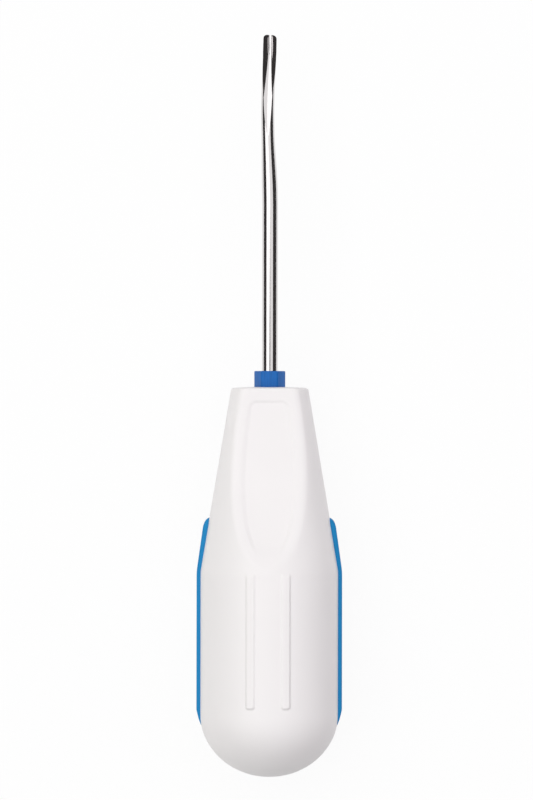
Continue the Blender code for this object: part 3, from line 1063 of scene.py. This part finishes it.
def make_blade(settings):
    """The steel from its seat in the collar to the gouge's tip."""
    start = TIP_Y + OVERCUT / 2
    seat = SHOULDER_Y - COLLAR_SEAT_DEPTH
    straight = TIP_Y - CURVE_END
    levels = spread(start, straight, BLADE_ROWS) + spread(straight, seat, SEAT_ROWS)[1:]
    radius = SHANK_DIAMETER / 2
    bm = bar([(0, start)] + [(radius, y) for y in levels] + [(0, seat)], BLADE_SIDES)
    bend_to_blade(bm, steel_section)
    blade = new_object("gouge_blade", bm)
    carve(blade, [("INTERSECT", tip_outline()), ("DIFFERENCE", hollow_cutter(settings))])
    return blade


def rectangle(size, middle):
    """A flat sheet of a size (across and along the tool)."""
    bm = bmesh.new()
    bmesh.ops.create_grid(bm, x_segments=1, y_segments=1, size=0.5)
    bmesh.ops.scale(bm, verts=bm.verts, vec=(*size, 1))
    bmesh.ops.translate(bm, verts=bm.verts, vec=middle)
    return bm


def diamond(reach, middle):
    """A flat sheet with four corners that reach out across and along the tool."""
    bm = bmesh.new()
    bmesh.ops.create_circle(bm, cap_ends=True, radius=1.0, segments=4)
    bmesh.ops.scale(bm, verts=bm.verts, vec=(*reach, 1))
    bmesh.ops.translate(bm, verts=bm.verts, vec=middle)
    return bm


def studio_sheet(name, bm, material):
    """Store a flat sheet as an object of the studio."""
    mesh = bpy.data.meshes.new(name)
    bm.to_mesh(mesh)
    bm.free()
    mesh.materials.append(material)
    sheet = bpy.data.objects.new(name, mesh)
    bpy.context.scene.collection.objects.link(sheet)
    return sheet


def lay_floor(colour):
    bm = rectangle((FLOOR_SIZE, FLOOR_SIZE), (0, 0, 0))
    floor = studio_sheet("floor", bm, plain_floor(colour))


def lay_cards(softbox_height):
    """Place the black cards and the flag; the camera sees none of them directly."""
    black = black_card(linear(CARD_COLOUR))
    sheets = []
    for name, inner in CARDS:
        middle = (inner + math.copysign(CARD_WIDTH / 2, inner), 0, CARD_LIFT)
        sheets.append((name, rectangle((CARD_WIDTH, SOFTBOX_LENGTH), middle)))
    overhead = (LENS_CARD_X, 0, softbox_height - LENS_CARD_DROP)
    sheets.append(("lens_card", diamond(LENS_CARD_REACH, overhead)))
    for name, bm in sheets:
        card = studio_sheet(name, bm, black)
        card.visible_camera = False
        card.visible_diffuse = False
        card.visible_shadow = False

    # The flag keeps the floor's light off the pommel's lower rim, and nothing mirrors it
    flag = studio_sheet("floor_flag", rectangle(FLAG_SIZE, (*FLAG_MIDDLE, CARD_LIFT)), black)
    flag.visible_camera = False
    flag.visible_glossy = False
    flag.visible_shadow = False


def hang_softboxes(settings):
    """Hang two softboxes edge to edge over the tool; the one at the right is dimmer."""
    for name, left, right, strength in SOFTBOXES:
        lamp = bpy.data.lights.new(name, "AREA")
        lamp.shape = "RECTANGLE"
        lamp.size = right - left
        lamp.size_y = SOFTBOX_LENGTH
        lamp.energy = settings.radiance * strength * math.pi * lamp.size * lamp.size_y
        softbox = bpy.data.objects.new(name, lamp)
        softbox.location = ((left + right) / 2, SOFTBOX_MIDDLE_Y, settings.softbox_height)
        bpy.context.scene.collection.objects.link(softbox)


def place_fills(power):
    """Light the plastic from both sides; nothing mirrors these lamps."""
    for name, turn, strength, tint in FILLS:
        lamp = bpy.data.lights.new(name, "AREA")
        lamp.size = FILL_SIZE
        lamp.energy = power * strength
        lamp.color = linear(tint)
        fill = bpy.data.objects.new(name, lamp)
        fill.location = (FILL_REACH * math.sin(turn), 0, FILL_REACH * math.cos(turn))
        fill.rotation_euler = (0, turn, 0)
        fill.visible_glossy = False
        bpy.context.scene.collection.objects.link(fill)


def light_room(ambient):
    """Surround the tool with a dark room for the steel and a soft pale light for matt surfaces."""
    world = bpy.data.worlds.new("studio")
    bpy.context.scene.world = world
    world.use_nodes = True
    tree = world.node_tree
    dark = tree.nodes["Background"]
    dark.inputs["Color"].default_value = (*linear(ROOM_COLOUR), 1.0)
    dark.inputs["Strength"].default_value = ROOM_STRENGTH
    pale = add_node(tree, "ShaderNodeBackground", {"Color": (1, 1, 1, 1), "Strength": ambient})
    rays = add_node(tree, "ShaderNodeLightPath", {})
    lit = add_node(
        tree,
        "ShaderNodeMixShader",
        {},
        i0=rays.outputs["Is Diffuse Ray"],
        i1=dark.outputs["Background"],
        i2=pale.outputs["Background"],
    )
    output = tree.nodes["World Output"]
    tree.links.new(lit.outputs["Shader"], output.inputs["Surface"])


def place_camera():
    """Stand the camera over the tool, where the photograph was taken from."""
    camera = bpy.data.cameras.new("camera")
    camera.sensor_width = SENSOR
    camera.lens = LENS
    eye = bpy.data.objects.new("camera", camera)
    bpy.context.scene.collection.objects.link(eye)
    distance = LENS * FRAME_HEIGHT * METRES_PER_PIXEL / SENSOR
    eye.location = (
        (FRAME_WIDTH / 2 - AXIS_PIXEL_X) * METRES_PER_PIXEL + distance * math.sin(CAMERA_TILT),
        TIP_Y - (FRAME_HEIGHT / 2 - TIP_PIXEL_Y) * METRES_PER_PIXEL,
        AXIS_HEIGHT + distance * math.cos(CAMERA_TILT),
    )
    eye.rotation_euler = (0, CAMERA_TILT, CAMERA_ROLL)
    bpy.context.scene.camera = eye


class OBJECT_OT_elevator_handle(bpy.types.Operator):
    """Build the white moulded handle with its scoops, panel and ribs"""

    bl_idname = "object.elevator_handle"
    bl_label = "Handle"

    def execute(self, context):
        settings = context.scene.elevator_handle
        bm = turned_quarters(handle_profile(settings.belly_radius), QUARTER)
        mould_handle(bm, settings)
        handle = new_object("moulded_handle", bm, smooth_angle=60.0)
        dress(handle, moulded_white_plastic(settings.colour), "handle")
        return {"FINISHED"}


class OBJECT_OT_elevator_strips(bpy.types.Operator):
    """Build the two soft strips on the handle's sides"""

    bl_idname = "object.elevator_strips"
    bl_label = "Grip strips"

    def execute(self, context):
        settings = context.scene.elevator_strips
        belly = context.scene.elevator_handle.belly_radius
        material = soft_blue_strip(settings.colour)
        for hand, side in (("left", -1), ("right", 1)):
            strip = make_strip(f"{hand}_soft_strip", side, settings, belly)
            dress(strip, material, f"{hand}_grip_strip")
        return {"FINISHED"}


class OBJECT_OT_elevator_collar(bpy.types.Operator):
    """Build the hexagonal collar round the shank"""

    bl_idname = "object.elevator_collar"
    bl_label = "Collar"

    def execute(self, context):
        settings = context.scene.elevator_collar
        dress(make_collar(settings), royal_blue_plastic(settings.colour), "collar")
        return {"FINISHED"}


class OBJECT_OT_elevator_blade(bpy.types.Operator):
    """Build the polished steel blade with its gouge"""

    bl_idname = "object.elevator_blade"
    bl_label = "Blade"

    def execute(self, context):
        settings = context.scene.elevator_blade
        dress(make_blade(settings), polished_steel(settings.colour), "blade")
        return {"FINISHED"}


class OBJECT_OT_elevator_studio(bpy.types.Operator):
    """Set up the floor, the cards, the lights, the world and the camera over the tool"""

    bl_idname = "object.elevator_studio"
    bl_label = "Studio"

    def execute(self, context):
        settings = context.scene.elevator_studio
        context.scene.view_settings.view_transform = "Standard"
        lay_floor(settings.floor_colour)
        lay_cards(settings.softbox_height)
        hang_softboxes(settings)
        place_fills(settings.fill_power)
        light_room(settings.ambient)
        place_camera()
        return {"FINISHED"}


class VIEW3D_PT_elevator(bpy.types.Panel):
    """Sidebar panel with the elevator's pieces and their sizes"""

    bl_idname = "VIEW3D_PT_elevator"
    bl_label = "Root elevator"
    bl_space_type = "VIEW_3D"
    bl_region_type = "UI"
    bl_category = "Elevator"

    def draw(self, context):
        for operator, group in PIECES:
            box = self.layout.box()
            box.operator(operator.bl_idname)
            settings = getattr(context.scene, operator.bl_idname.split(".")[1])
            for name in group.__annotations__:
                box.prop(settings, name)


PIECES = [
    (OBJECT_OT_elevator_handle, HandleSettings),
    (OBJECT_OT_elevator_strips, StripSettings),
    (OBJECT_OT_elevator_collar, CollarSettings),
    (OBJECT_OT_elevator_blade, BladeSettings),
    (OBJECT_OT_elevator_studio, StudioSettings),
]


def register():
    for operator, group in PIECES:
        bpy.utils.register_class(group)
        bpy.utils.register_class(operator)
        name = operator.bl_idname.split(".")[1]
        setattr(bpy.types.Scene, name, PointerProperty(type=group))
    bpy.utils.register_class(VIEW3D_PT_elevator)


def unregister():
    bpy.utils.unregister_class(VIEW3D_PT_elevator)
    for operator, group in reversed(PIECES):
        delattr(bpy.types.Scene, operator.bl_idname.split(".")[1])
        bpy.utils.unregister_class(operator)
        bpy.utils.unregister_class(group)


def main():
    register()
    bpy.ops.object.elevator_handle()
    bpy.ops.object.elevator_strips()
    bpy.ops.object.elevator_collar()
    bpy.ops.object.elevator_blade()
    bpy.ops.object.elevator_studio()
    bpy.context.view_layer.update()


if __name__ == "__main__":
    main()
